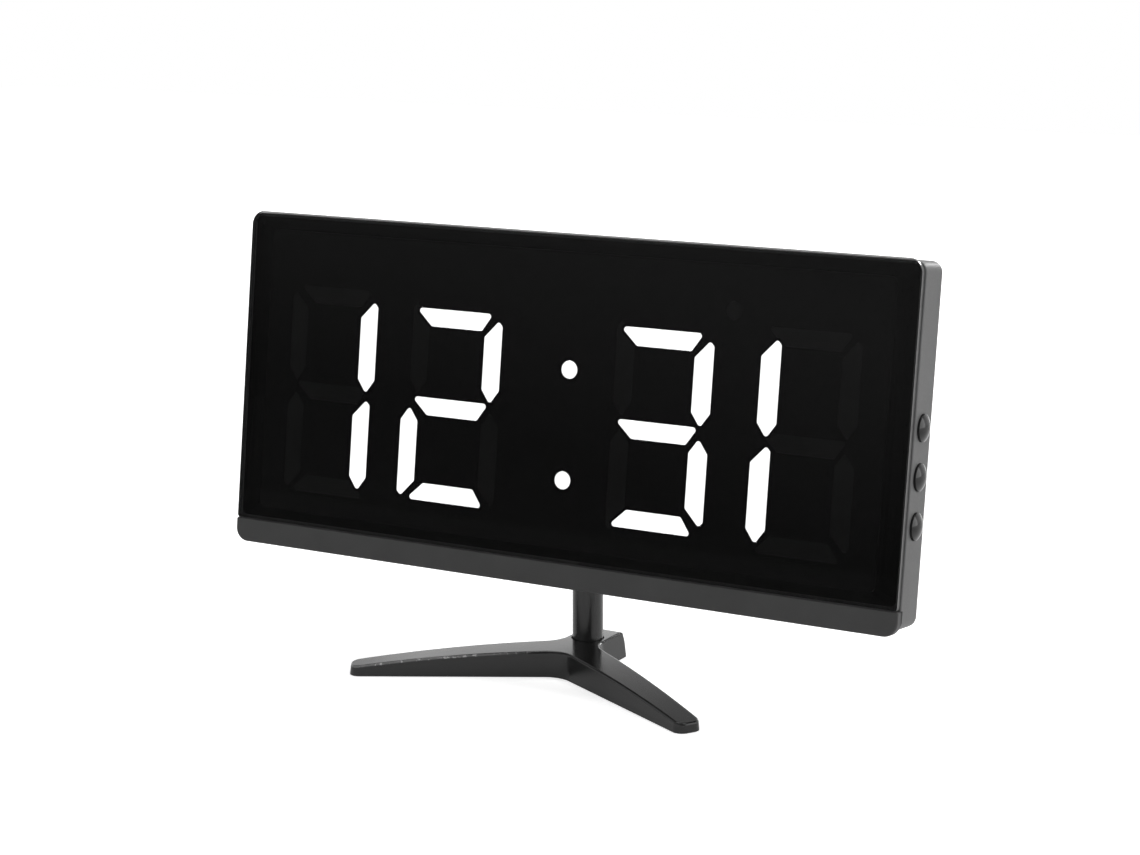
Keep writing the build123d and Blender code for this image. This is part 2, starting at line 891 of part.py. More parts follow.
def make_battery_cap():
    """Round cap turned with a coin: it lies flush in the rear cover, its lugs behind the cover."""
    skirt_front = cover_front - cap_skirt
    cap = disc(cell_x, cell_height, cap_radius, skirt_front, case_depth)
    cap -= disc(cell_x, cell_height, cap_radius - cap_skirt_wall, skirt_front - overrun, cover_front)
    lug_back = cover_front - seat_gap
    inner = cap_radius - cap_skirt_wall / 2
    lug_front = lug_back - cap_lug_thickness
    lug_outer = cap_radius + cap_lug_reach
    for lug in lug_sectors(inner, lug_outer, lug_front, lug_back, 0, cap_lug_angle):
        cap += lug
    slot = Pos(cell_x, cell_height) * SlotOverall(coin_slot_length, coin_slot_width)
    return cap - slab(slot, case_depth - coin_slot_depth, case_depth + overrun)


def bracket_screw_places():
    """Where the tilt bracket is screwed to the rear cover."""
    sides = (-1, 1)
    return [(x * bracket_screw_x, pivot_z + z * bracket_screw_rise) for x in sides for z in sides]


def make_rear_cover():
    """Rear cover inside the frame's back: screw holes, vents, battery opening and bosses."""
    bottom = case_bottom_rear + case_wall + fit_gap
    radius = inner_radius - fit_gap
    outline = rounded_outline(inner_half - fit_gap, bottom, inner_top - fit_gap, radius, radius)
    cover = slab(outline, cover_front, case_depth)
    for x, z in bracket_screw_places():
        cover += disc(x, z, bracket_boss_radius, cover_front - bracket_boss_height, cover_front)
    for x in (-press_post_x, press_post_x):
        for z in (bottom + press_post_inset, inner_top - press_post_inset):
            cover += disc(x, z, press_post_radius, board_back, cover_front)
    back = case_depth + overrun
    for x, z in boss_places():
        cover -= disc(x, z, case_screw_radius + fit_gap, cover_front - overrun, back)
        cover -= disc(x, z, case_screw_head_radius + fit_gap, case_depth - case_screw_head, back)
    pilot_front = bracket_back - bracket_screw_head - bracket_screw_length
    for x, z in bracket_screw_places():
        cover -= disc(x, z, bracket_screw_radius + thread_gap, pilot_front, back)
    cover -= disc(cell_x, cell_height, cap_radius + cap_gap, cover_front - overrun, back)
    notch_outer = cap_radius + cap_lug_reach + cap_gap
    notch_angle = cap_lug_angle + cap_notch_play
    for notch in lug_sectors(cap_radius, notch_outer, cover_front - overrun, back, cap_turn, notch_angle):
        cover -= notch
    for side in (-1, 1):
        for index in range(vent_count):
            x = side * (vent_x + (index - (vent_count - 1) / 2) * vent_pitch)
            vent = Pos(x, vent_height) * Rot(0, 0, 90) * SlotOverall(vent_length, vent_width)
            cover -= slab(vent, cover_front - overrun, back)
    return cover


def make_case_screws():
    """Screws that hold the rear cover to the case frame."""
    shape = screw(case_screw_head_radius, case_screw_head, case_screw_radius, case_screw_length)
    return group([rear_screw(x, z, case_depth - case_screw_head, shape) for x, z in boss_places()])


def ear_outline():
    """Side view of a bracket ear, from the plate out round the pivot."""
    foot = ear_radius + ear_foot
    points = [
        (case_depth, pivot_z - foot),
        (pivot_y, pivot_z - ear_radius),
        (pivot_y, pivot_z + ear_radius),
        (case_depth, pivot_z + foot),
    ]
    return make_face(Polyline(*points, close=True)) + Pos(pivot_y, pivot_z) * Circle(ear_radius)


def make_tilt_bracket():
    """Metal bracket on the back: a plate and two ears that hold the hinge bolt."""
    plate = RectangleRounded(2 * bracket_half_width, 2 * bracket_half_height, bracket_corner)
    bracket = slab(Pos(0, pivot_z) * plate, case_depth, bracket_back)
    ear_inner = tongue_thickness / 2 + running_gap + washer_thickness
    for left in (-ear_inner - ear_thickness, ear_inner):
        bracket += side_slab(ear_outline(), left, left + ear_thickness)
    reach = ear_inner + ear_thickness + overrun
    bracket -= rod(pivot_y, pivot_z, hinge_radius + running_gap, -reach, reach)
    for x, z in bracket_screw_places():
        bracket -= disc(x, z, bracket_screw_radius + fit_gap, case_depth - overrun, bracket_back + overrun)
        seat = bracket_back - bracket_screw_head
        bracket -= disc(x, z, bracket_screw_head_radius + fit_gap, seat, bracket_back + overrun)
    return bracket


def make_bracket_screws():
    """Screws that hold the tilt bracket to the rear cover."""
    shape = screw(
        bracket_screw_head_radius, bracket_screw_head, bracket_screw_radius, bracket_screw_length
    )
    seat = bracket_back - bracket_screw_head
    return group([rear_screw(x, z, seat, shape) for x, z in bracket_screw_places()])


def make_friction_washers():
    """Thin washers between the bracket's ears and the post's tongue."""
    inner = tongue_thickness / 2 + running_gap
    outline = Pos(pivot_y, pivot_z) * (Circle(washer_radius) - Circle(hinge_radius + running_gap))
    right = side_slab(outline, inner, inner + washer_thickness)
    left = side_slab(outline, -inner - washer_thickness, -inner)
    return group([left, right])


def make_hinge_bolt():
    """Socket-head bolt through the ears and the tongue."""
    ear_outer = tongue_thickness / 2 + running_gap + washer_thickness + ear_thickness
    head = rod(pivot_y, pivot_z, bolt_head_radius, -ear_outer - bolt_head_height, -ear_outer)
    shank = rod(pivot_y, pivot_z, hinge_radius, -ear_outer, ear_outer + nut_height + bolt_end)
    key = Pos(pivot_y, pivot_z) * RegularPolygon(bolt_key_flats / 2, 6, major_radius=False)
    key_left = -ear_outer - bolt_head_height
    return head + shank - side_slab(key, key_left - overrun, key_left + bolt_key_depth)


def make_hinge_nut():
    """Hexagon nut on the bolt's end."""
    ear_outer = tongue_thickness / 2 + running_gap + washer_thickness + ear_thickness
    hexagon = RegularPolygon(nut_flats / 2, 6, major_radius=False) - Circle(hinge_radius + thread_gap)
    return side_slab(Pos(pivot_y, pivot_z) * hexagon, ear_outer, ear_outer + nut_height)


def make_post_tube():
    """Round tube of the post."""
    tube = column(0, 0, post_radius, post_bottom, tube_top)
    return tube - column(0, 0, tube_bore, post_bottom - overrun, tube_top + overrun)


def make_post_head():
    """Post head: a plug in the tube, a neck and the flat tongue that the hinge bolt goes through."""
    plug = column(0, 0, tube_bore, tube_top - plug_length, tube_top)
    neck = column(0, 0, post_radius, tube_top, neck_top)
    half = tongue_thickness / 2
    blade = Pos(0, (neck_top + pivot_height) / 2) * Rectangle(2 * tongue_radius, pivot_height - neck_top)
    tongue = side_slab(blade + Pos(0, pivot_height) * Circle(tongue_radius), -half, half)
    hole = rod(0, pivot_height, hinge_radius + running_gap, -half - overrun, half + overrun)
    return plug + neck + tongue - hole


def make_post_foot():
    """Threaded foot plug of the post, with the spigot that turns in the bush."""
    plug = column(0, 0, tube_bore, post_bottom, post_bottom + foot_plug_length)
    spigot = column(0, 0, spigot_radius, spigot_end, post_bottom)
    hole_top = keeper_bottom + post_screw_length + seat_gap
    hole = column(0, 0, post_screw_radius + thread_gap, spigot_end - overrun, hole_top)
    return plug + spigot - hole


def make_post_screw():
    """Screw that keeps the post in the foot, driven from below."""
    shape = screw(post_screw_head_radius, post_screw_head, post_screw_radius, post_screw_length)
    return Pos(0, 0, keeper_bottom) * Rot(180, 0, 0) * shape


def ring(inner, outer, low, high):
    """A flat ring round the post's axis."""
    return column(0, 0, outer, low, high) - column(0, 0, inner, low - overrun, high + overrun)


def make_spring_washer():
    """Spring washer that presses up on the foot's floor, so that the post turns with friction."""
    return ring(spigot_radius + running_gap, keeper_radius, spigot_end, socket_floor_bottom - seat_gap)


def make_keeper_washer():
    """Plain washer between the spigot's end and the screw's head."""
    return ring(post_screw_radius + running_gap, keeper_radius, keeper_bottom, spigot_end)


def make_post_bush():
    """Flanged plastic bush in the foot's floor."""
    sleeve = ring(spigot_radius + running_gap, bush_radius, socket_floor_bottom, socket_floor_top)
    flange_radius = socket_ring_radius - fit_gap
    flange_top = post_bottom - seat_gap
    return sleeve + ring(spigot_radius + running_gap, flange_radius, socket_floor_top, flange_top)


def leg_end(set_back, angle):
    """Where a leg's edge, a line that leaves the middle at an angle, meets the leg's end."""
    middle = radians((leg_front_angle + leg_back_angle) / 2)
    slope = tan(radians(angle))
    x = (leg_reach - set_back * sin(middle)) / (cos(middle) + slope * sin(middle))
    return x, -set_back - slope * x


def foot_outline():
    """Ground outline of the foot: two long front legs, a notch between them and a short heel."""
    front_toe = leg_end(notch_set, leg_front_angle)
    back_toe = leg_end(leg_back_set, leg_back_angle)
    neck = (neck_half_width, -leg_back_set - tan(radians(leg_back_angle)) * neck_half_width)
    heel = (heel_half_width, heel_reach)
    right = [(front_toe, toe_radius), (back_toe, toe_radius), (neck, neck_radius), (heel, heel_radius)]
    left = [((-x, y), radius) for (x, y), radius in reversed(right)]
    corners = [((0, -notch_set), notch_radius)] + right + left
    outline = make_face(Polyline(*[point for point, radius in corners], close=True))
    for (x, y), radius in corners:
        corner = outline.vertices().sort_by_distance((x, y, 0))[0]
        outline = fillet(corner, radius)
    return outline


def toe_place():
    """Centre of the pad under the right leg."""
    front_x, front_y = leg_end(notch_set, leg_front_angle)
    back_x, back_y = leg_end(leg_back_set, leg_back_angle)
    middle = radians((leg_front_angle + leg_back_angle) / 2)
    x = (front_x + back_x) / 2 - pad_toe_inset * cos(middle)
    y = (front_y + back_y) / 2 + pad_toe_inset * sin(middle)
    return x, y


def pad_places():
    """Centres of the three pads."""
    x, y = toe_place()
    return [(-x, y), (x, y), (0, heel_reach - pad_heel_inset)]


def heel_room():
    """The wedge that is left free behind the heel's slanted end."""
    top = foot_top + overrun
    slanted_reach = heel_reach - (top - pad_proud) * tan(radians(heel_slope))
    behind = heel_reach + overrun
    corners = [(heel_reach, pad_proud), (slanted_reach, top), (behind, top), (behind, pad_proud)]
    return side_slab(make_face(Polyline(*corners, close=True)), -heel_half_width, heel_half_width)


def make_foot_casting():
    """Cast foot: drafted sides, a crowned top that falls to the toes, and a socket for the post."""
    outline = Plane.XY.offset(pad_proud) * foot_outline()
    casting = extrude(outline, amount=foot_top - pad_proud + overrun, taper=foot_draft)
    crown = Pos(0, 0, foot_top - foot_crown_radius) * Rot(0, 90, 0) * Sphere(foot_crown_radius)
    casting = (casting - heel_room()) & crown
    top_face = casting.faces().sort_by(Axis.Z)[-1]
    casting = fillet(top_face.edges(), foot_edge_round)
    casting -= column(0, 0, socket_ring_radius, socket_floor_top, foot_top + overrun)
    casting -= column(0, 0, bush_radius, socket_floor_bottom - overrun, socket_floor_top + overrun)
    casting -= column(0, 0, screw_well_radius, pad_proud - overrun, socket_floor_bottom)
    for x, y in pad_places():
        casting -= column(x, y, pad_radius + seat_gap, pad_proud - overrun, pad_proud + pad_depth)
    return casting


def make_foot_pads():
    """Rubber pads that the clock stands on."""
    return group([column(x, y, pad_radius, 0, pad_proud + pad_depth) for x, y in pad_places()])


def on_panel(shape):
    """Move a shape from the panel frame to the stand frame."""
    return Pos(0, -post_to_lens, lens_edge_height) * Rot(-panel_lean, 0, 0) * shape


def main():
    os.makedirs("parts", exist_ok=True)
    lit, colon, unlit, lights = display_windows()
    windows = [face for faces in lit for face in faces] + colon + unlit
    panel = {
        "case_frame": make_case_frame(),
        "chin_bar": make_chin_bar(),
        "front_lens": make_front_lens(),
        "lens_tape": make_lens_tape(),
        "display_mask": make_display_mask(windows),
        "reflector_block": make_reflector_block(windows),
        "colon_lit": window_inserts(colon),
        "segments_unlit": window_inserts(unlit),
        "led_chips": make_led_chips(lights),
        "circuit_board": make_circuit_board(),
        "board_screws": make_board_screws(),
        "controller_chip": leaded_chip(
            controller_x, controller_height, chip_side, chip_side, chip_lead_count, True
        ),
        "driver_chip": leaded_chip(
            driver_x, driver_height, driver_length, driver_width, driver_lead_count, False
        ),
        "clock_crystal": make_clock_crystal(),
        "buzzer": make_buzzer(),
        "capacitors": make_capacitors(),
        "resistors": make_resistors(),
        "switch_bodies": make_switch_bodies(),
        "power_socket": make_power_socket(),
        "battery_holder": make_battery_holder(),
        "battery_contact": make_battery_contact(),
        "coin_cell": make_coin_cell(),
        "battery_cap": make_battery_cap(),
        "rear_cover": make_rear_cover(),
        "case_screws": make_case_screws(),
        "tilt_bracket": make_tilt_bracket(),
        "bracket_screws": make_bracket_screws(),
        "friction_washers": make_friction_washers(),
        "hinge_bolt": make_hinge_bolt(),
        "hinge_nut": make_hinge_nut(),
    }
    for index, faces in enumerate(lit):
        panel[f"digit_{index + 1}_lit"] = window_inserts(faces)
    for name, z in zip(("down", "up", "set"), button_heights):
        panel[f"{name}_button"] = make_button(z)
        panel[f"{name}_plunger"] = make_plunger(z)
    stand = {
        "post_tube": make_post_tube(),
        "post_head": make_post_head(),
        "post_foot": make_post_foot(),
        "post_screw": make_post_screw(),
        "spring_washer": make_spring_washer(),
        "keeper_washer": make_keeper_washer(),
        "post_bush": make_post_bush(),
        "foot_casting": make_foot_casting(),
        "foot_pads": make_foot_pads(),
    }
    for name, shape in panel.items():
        stand[name] = on_panel(shape)
    foot_box = stand["foot_casting"].bounding_box()
    centre_shift = -(foot_box.min.Y + foot_box.max.Y) / 2
    for name, shape in stand.items():
        export_step(Pos(0, centre_shift, 0) * shape, f"parts/{name}.step")
    print(f"post axis at Y {centre_shift:.4f}")
    print(f"pivot at panel depth {pivot_y:.4f} and panel height {pivot_z:.4f}")


main()
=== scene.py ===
import bpy
import json
from math import cos, radians, sin
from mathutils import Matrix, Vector

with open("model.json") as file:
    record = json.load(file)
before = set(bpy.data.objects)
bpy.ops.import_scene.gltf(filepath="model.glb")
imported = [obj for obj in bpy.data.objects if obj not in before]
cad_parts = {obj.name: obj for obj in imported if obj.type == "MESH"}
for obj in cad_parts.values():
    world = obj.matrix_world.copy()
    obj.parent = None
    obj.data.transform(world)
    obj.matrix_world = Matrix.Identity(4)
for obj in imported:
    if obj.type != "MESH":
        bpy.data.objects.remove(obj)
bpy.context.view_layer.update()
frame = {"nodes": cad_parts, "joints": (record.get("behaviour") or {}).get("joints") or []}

# A slim digital desk clock. Lengths are in metres, in the part's own frame.

nodes = frame["nodes"]
joints = {joint["name"]: joint for joint in frame["joints"]}

# Camera, at the photograph's viewing angle, counted from the foot of the post
CAMERA_FROM_POST = (0.29369, -0.52490, 0.18387)
CAMERA_YAW = 29.646
CAMERA_PITCH = 11.670
CAMERA_LENS = 79.918
CAMERA_SENSOR = 36.0
CAMERA_CLIP = (0.01, 50.0)
LEVEL_VIEW = 90.0


def add_camera():
    """Camera without shift or depth of field."""
    data = bpy.data.cameras.new("camera")
    data.lens = CAMERA_LENS
    data.sensor_width = CAMERA_SENSOR
    data.sensor_fit = "HORIZONTAL"
    data.clip_start, data.clip_end = CAMERA_CLIP
    camera = bpy.data.objects.new("camera", data)
    post_y = joints["tilt_hinge"]["pos_m"][1]
    camera.location = Vector(CAMERA_FROM_POST) + Vector((0.0, post_y, 0.0))
    camera.rotation_euler = (radians(LEVEL_VIEW - CAMERA_PITCH), 0.0, radians(CAMERA_YAW))
    bpy.context.scene.collection.objects.link(camera)
    bpy.context.scene.camera = camera


add_camera()


# Node helpers. A span is the low and the high end of the values that a node takes in, and
# a ramp's new stop waits in the middle until it gets its place.
NOISE_SPAN = (0.3, 0.7)
NEW_STOP = 0.5


def calculate(tree, operation, first, second):
    """A math node on sockets or numbers."""
    node = tree.nodes.new("ShaderNodeMath")
    node.operation = operation
    for value, socket in ((first, node.inputs[0]), (second, node.inputs[1])):
        if isinstance(value, bpy.types.NodeSocket):
            tree.links.new(value, socket)
        else:
            socket.default_value = value
    return node.outputs["Value"]


def map_range(tree, value, span, ends):
    """A value carried from a span to a pair of ends, and held at them."""
    node = tree.nodes.new("ShaderNodeMapRange")
    for name, number in zip(("From Min", "From Max", "To Min", "To Max"), (*span, *ends)):
        node.inputs[name].default_value = number
    tree.links.new(value, node.inputs["Value"])
    return node.outputs["Result"]


class Shader:
    """A node material under construction, with short calls for the nodes that the clock needs."""

    def __init__(self, name):
        self.material = bpy.data.materials.new(name)
        self.material.use_nodes = True
        self.tree = self.material.node_tree
        self.surface = self.tree.nodes["Principled BSDF"]

    def add(self, kind, **settings):
        """A node of a kind, with its properties set."""
        node = self.tree.nodes.new(kind)
        for name, value in settings.items():
            setattr(node, name, value)
        return node

    def link(self, output, socket):
        """Connect two sockets."""
        self.tree.links.new(output, socket)

    def drive(self, **outputs):
        """Connect outputs to the surface shader's sockets."""
        for name, output in outputs.items():
            self.link(output, self.surface.inputs[name.replace("_", " ")])

    def set(self, **values):
        """Constant values on the surface shader's own sockets."""
        for name, value in values.items():
            self.surface.inputs[name.replace("_", " ")].default_value = value

    def place(self):
        """Position on the piece, in metres."""
        return self.add("ShaderNodeTexCoord").outputs["Object"]

    def noise(self, scale, detail=4.0, rough=0.55, stretch=(1.0, 1.0, 1.0)):
        """Noise with about `scale` cells to the metre."""
        mapping = self.add("ShaderNodeMapping")
        mapping.inputs["Scale"].default_value = stretch
        self.link(self.place(), mapping.inputs["Vector"])
        noise = self.add("ShaderNodeTexNoise")
        noise.inputs["Scale"].default_value = scale
        noise.inputs["Detail"].default_value = detail
        noise.inputs["Roughness"].default_value = rough
        self.link(mapping.outputs["Vector"], noise.inputs["Vector"])
        return noise.outputs["Fac"]

    def ramp(self, value, stops):
        """A colour ramp from (place, value or colour) stops."""
        ramp = self.add("ShaderNodeValToRGB")
        elements = ramp.color_ramp.elements
        while len(elements) < len(stops):
            elements.new(NEW_STOP)
        for element, (place, colour) in zip(elements, stops):
            element.position = place
            if isinstance(colour, (int, float)):
                colour = (colour, colour, colour)
            element.color = (*colour, 1.0)
        self.link(value, ramp.inputs["Fac"])
        return ramp.outputs["Color"]

    def spread(self, value, ends, span=NOISE_SPAN):
        """A ramp from one value or colour to another."""
        return self.ramp(value, list(zip(span, ends)))

    def mix(self, factor, first, second):
        """Mix two values or colours, each a socket or a constant."""
        mix = self.add("ShaderNodeMix", data_type="RGBA")
        self.link(factor, mix.inputs["Factor"])
        for value, socket in ((first, mix.inputs["A"]), (second, mix.inputs["B"])):
            if isinstance(value, bpy.types.NodeSocket):
                self.link(value, socket)
            elif isinstance(value, float):
                socket.default_value = (value, value, value, 1.0)
            else:
                socket.default_value = (*value, 1.0)
        return mix.outputs["Result"]

    def math(self, operation, first, second=0.0):
        """A math node on sockets or numbers."""
        return calculate(self.tree, operation, first, second)

    def bump(self, height, distance):
        """Surface relief from a height, its depth in metres."""
        bump = self.add("ShaderNodeBump")
        bump.inputs["Strength"].default_value = 1.0
        bump.inputs["Distance"].default_value = distance
        self.link(height, bump.inputs["Height"])
        self.drive(Normal=bump.outputs["Normal"])

    def facing(self, direction):
        """How far the surface, seen from either side, faces along a direction: 0 to 1."""
        dot = self.add("ShaderNodeVectorMath", operation="DOT_PRODUCT")
        self.link(self.add("ShaderNodeTexCoord").outputs["Normal"], dot.inputs[0])
        dot.inputs[1].default_value = direction
        return self.math("ABSOLUTE", dot.outputs["Value"])


# Plastics and rubber: darkest and lightest tone, least and greatest roughness, grain in cells
# to the metre, depth of the grain, and the strength of the reflection where it isn't usual
PLASTICS = {
    "case_satin": dict(
        tone=(0.098, 0.113), rough=(0.42, 0.52), grain=2600.0, depth=0.000008, level=0.4),
    "chin_satin": dict(
        tone=(0.067, 0.080), rough=(0.42, 0.52), grain=2600.0, depth=0.000008, level=0.2),
    "cover_texture": dict(tone=(0.018, 0.028), rough=(0.5, 0.7), grain=1800.0, depth=0.00006),
    "button_gloss": dict(tone=(0.006, 0.010), rough=(0.09, 0.13), grain=3200.0, depth=0.0000015),
    "chip_black": dict(tone=(0.02, 0.03), rough=(0.55, 0.7), grain=4000.0, depth=0.00001),
    "nylon_cream": dict(tone=(0.60, 0.68), rough=(0.4, 0.5), grain=2500.0, depth=0.000004),
    "reflector_white": dict(tone=(0.78, 0.84), rough=(0.5, 0.62), grain=2500.0, depth=0.000004),
    "pad_rubber": dict(
        tone=(0.015, 0.025), rough=(0.7, 0.85), grain=3500.0, depth=0.00002, level=0.3),
    "led_phosphor": dict(
        tone=((0.75, 0.68, 0.32), (0.85, 0.78, 0.42)), rough=(0.35, 0.5), grain=3000.0,
        depth=0.000004),
    "segment_unlit": dict(
        tone=(0.05, 0.07), rough=(0.6, 0.7), grain=2000.0, depth=0.000001, level=0.0),
}
MOTTLE_CELLS = 60.0
GRAIN_SPAN = (0.35, 0.65)


def grained(name, tone, rough, grain, depth, level=0.5):
    """Moulded plastic: a mottled colour, uneven gloss and a fine grain."""
    shader = Shader(name)
    mottle = shader.noise(MOTTLE_CELLS, detail=3.0)
    fine = shader.noise(grain, detail=5.0, rough=0.6)
    shader.drive(Base_Color=shader.spread(mottle, tone))
    shader.drive(Roughness=shader.spread(fine, rough, GRAIN_SPAN))
    shader.set(Specular_IOR_Level=level)
    shader.bump(fine, depth)
    return shader.material


def plastic(name):
    """One of the plastics listed above."""
    return grained(name, **PLASTICS[name])


FILM_CELLS = 400.0
FILM_TONE = (0.0015, 0.0025)


def film_material():
    """Matt black film and tape."""
    shader = Shader("film_black")
    shader.drive(Base_Color=shader.spread(shader.noise(FILM_CELLS, detail=3.0), FILM_TONE))
    shader.set(Roughness=0.8, Specular_IOR_Level=0.0)
    return shader.material


# The post's paint carries painted reflection: its tone mottle is drawn out into vertical streaks.
POST_TONE = 0.017
POST_REFLECTION_STREAK = 0.03
FOOT_TONE = 0.009
BRACKET_TONE = 0.014
PEEL_CELLS = 900.0
PEEL_DEPTH = 0.000006
PAINT_CELLS = 45.0
PAINT_REFLECTION_STREAK_POWER = 0.75
PAINT_DARK, PAINT_LIGHT = 0.8, 1.2
PAINT_ROUGH = (0.15, 0.22)


def paint_material(name, colour, reflection_streak=1.0):
    """Semi-gloss black paint with a slight orange peel.

    A reflection streak below one draws the mottle out upwards into painted streaks of reflection.
    """
    shader = Shader(name)
    peel = shader.noise(PEEL_CELLS, detail=2.0)
    cells = PAINT_CELLS / reflection_streak ** PAINT_REFLECTION_STREAK_POWER
    mottle = shader.noise(cells, detail=3.0, stretch=(1.0, 1.0, reflection_streak))
    plain = shader.spread(mottle, (colour * PAINT_DARK, colour * PAINT_LIGHT))
    gloss = shader.spread(mottle, PAINT_ROUGH)
    shader.drive(Base_Color=plain, Roughness=gloss)
    shader.bump(peel, PEEL_DEPTH)
    return shader, plain, gloss


UPWARDS = (0.0, 0.0, 1.0)
ROUNDED_EDGE = [(0.25, 0.0), (0.4, 1.0), (0.82, 1.0), (0.94, 0.0)]
LEFT_LEG_HIGHLIGHT_SPAN = (-0.006, -0.014)
# Painted highlight: the left leg's rounded upper edge is lightened to this tone in place of a
# lamp's reflection.
EDGE_HIGHLIGHT_TONE = 0.20
NICK_CELLS = 700.0
NICK_SPAN = (0.55, 0.60)
NICK_TONE = 0.60
NICK_ROUGH = 0.5


def foot_material():
    """Black paint, with a painted highlight along the left leg's upper edge and small nicks
    there.
    """
    shader, plain, gloss = paint_material("foot_paint", FOOT_TONE)
    rounded = shader.ramp(shader.facing(UPWARDS), ROUNDED_EDGE)
    across = shader.add("ShaderNodeSeparateXYZ")
    shader.link(shader.place(), across.inputs["Vector"])
    left = map_range(shader.tree, across.outputs["X"], LEFT_LEG_HIGHLIGHT_SPAN, (0.0, 1.0))
    highlight_line = shader.math("MULTIPLY", rounded, left)
    noise = shader.noise(NICK_CELLS, rough=0.7)
    nicks = shader.spread(noise, (0.0, 1.0), NICK_SPAN)
    # Painted highlight along the left leg's upper edge.
    highlighted_edge = shader.mix(highlight_line, plain, EDGE_HIGHLIGHT_TONE)
    worn = shader.math("MULTIPLY", highlight_line, nicks)
    shader.drive(Base_Color=shader.mix(worn, highlighted_edge, NICK_TONE))
    shader.drive(Roughness=shader.mix(worn, gloss, NICK_ROUGH))
    return shader.material


METAL_CELLS = 1500.0
METAL_DARK = 0.85
METAL_ROUGH_STEP = 0.12
METAL_DEPTH = 0.000003


def metal_material(name, colour, rough, stretch):
    """Bare or blackened metal with fine drawn lines."""
    shader = Shader(name)
    lines = shader.noise(METAL_CELLS, rough=0.6, stretch=stretch)
    shader.set(Metallic=1.0)
    shader.drive(Base_Color=shader.spread(lines, (colour * METAL_DARK, colour)))
    shader.drive(Roughness=shader.spread(lines, (rough, rough + METAL_ROUGH_STEP)))
    shader.bump(lines, METAL_DEPTH)
    return shader.material


WEAVE_CELLS = 3000.0
WEAVE_DEPTH = 0.000004
MASK_TONE = ((0.008, 0.075, 0.03), (0.012, 0.1, 0.04))
TRACK_TONE = (0.02, 0.16, 0.06)
TRACK_SCALE = 160.0
TRACK_WIDTH = 0.03


def board_material():
    """Green solder mask over a weave of glass cloth, with copper tracks showing through."""
    shader = Shader("board_mask")
    weave = shader.noise(WEAVE_CELLS, detail=2.0)
    tracks = shader.add("ShaderNodeTexBrick")
    tracks.inputs["Scale"].default_value = TRACK_SCALE
    tracks.inputs["Mortar Size"].default_value = TRACK_WIDTH
    shader.link(shader.place(), tracks.inputs["Vector"])
    mask = shader.spread(weave, MASK_TONE)
    shader.drive(Base_Color=shader.mix(tracks.outputs["Fac"], mask, TRACK_TONE))
    shader.set(Roughness=0.35)
    shader.bump(weave, WEAVE_DEPTH)
    return shader.material


LIT_STRENGTH = 6.5
LIT_CELLS = 260.0
LIT_SPAN = (0.25, 0.75)
LIT_TONE = (0.93, 1.0)


def lit_material():
    """Light guide of a lit segment, its glow a little uneven."""
    shader = Shader("segment_lit")
    clouds = shader.noise(LIT_CELLS, detail=2.0)
    glow = shader.spread(clouds, LIT_TONE, LIT_SPAN)
    shader.drive(Base_Color=glow, Emission_Color=glow)
    shader.set(Emission_Strength=LIT_STRENGTH, Roughness=0.6)
    return shader.material


PANEL_LEAN = 7.3
PANEL_FACING = (0.0, -cos(radians(PANEL_LEAN)), sin(radians(PANEL_LEAN)))
FACE_SPAN = (0.80, 0.95)
HAZE_CELLS = 26.0
SPECK_CELLS = 1400.0
SMOKE_TONE = (0.18, 0.20)
SMOKE_IOR = 1.18
SMOKE_ROUGH = (0.030, 0.042)
SMOKE_ROUGH_SPAN = (0.35, 0.75)
EDGE_TONE = (0.12, 0.15)
EDGE_ROUGH = 0.4
EDGE_COAT = 0.6


def lens_material():
    """Smoked polished plate with satin edges."""
    shader = Shader("lens_smoked")
    face = shader.spread(shader.facing(PANEL_FACING), (0.0, 1.0), FACE_SPAN)
    haze = shader.noise(HAZE_CELLS, detail=5.0, rough=0.65)
    specks = shader.noise(SPECK_CELLS, detail=2.0)
    smoke = shader.spread(haze, SMOKE_TONE)
    edge = shader.spread(specks, EDGE_TONE)
    shader.set(IOR=SMOKE_IOR)
    shader.drive(Base_Color=shader.mix(face, edge, smoke), Transmission_Weight=face)
    gloss = shader.spread(haze, SMOKE_ROUGH, SMOKE_ROUGH_SPAN)
    shader.drive(Roughness=shader.mix(face, EDGE_ROUGH, gloss))
    coat = shader.math("MULTIPLY", shader.math("SUBTRACT", 1.0, face), EDGE_COAT)
    shader.drive(Coat_Weight=coat)
    shader.set(Coat_Roughness=0.12)
    return shader.material


def dress(material, *names):
    """Give CAD nodes a material."""
    for name in names:
        mesh = nodes[name].data
        mesh.materials.clear()
        mesh.materials.append(material)


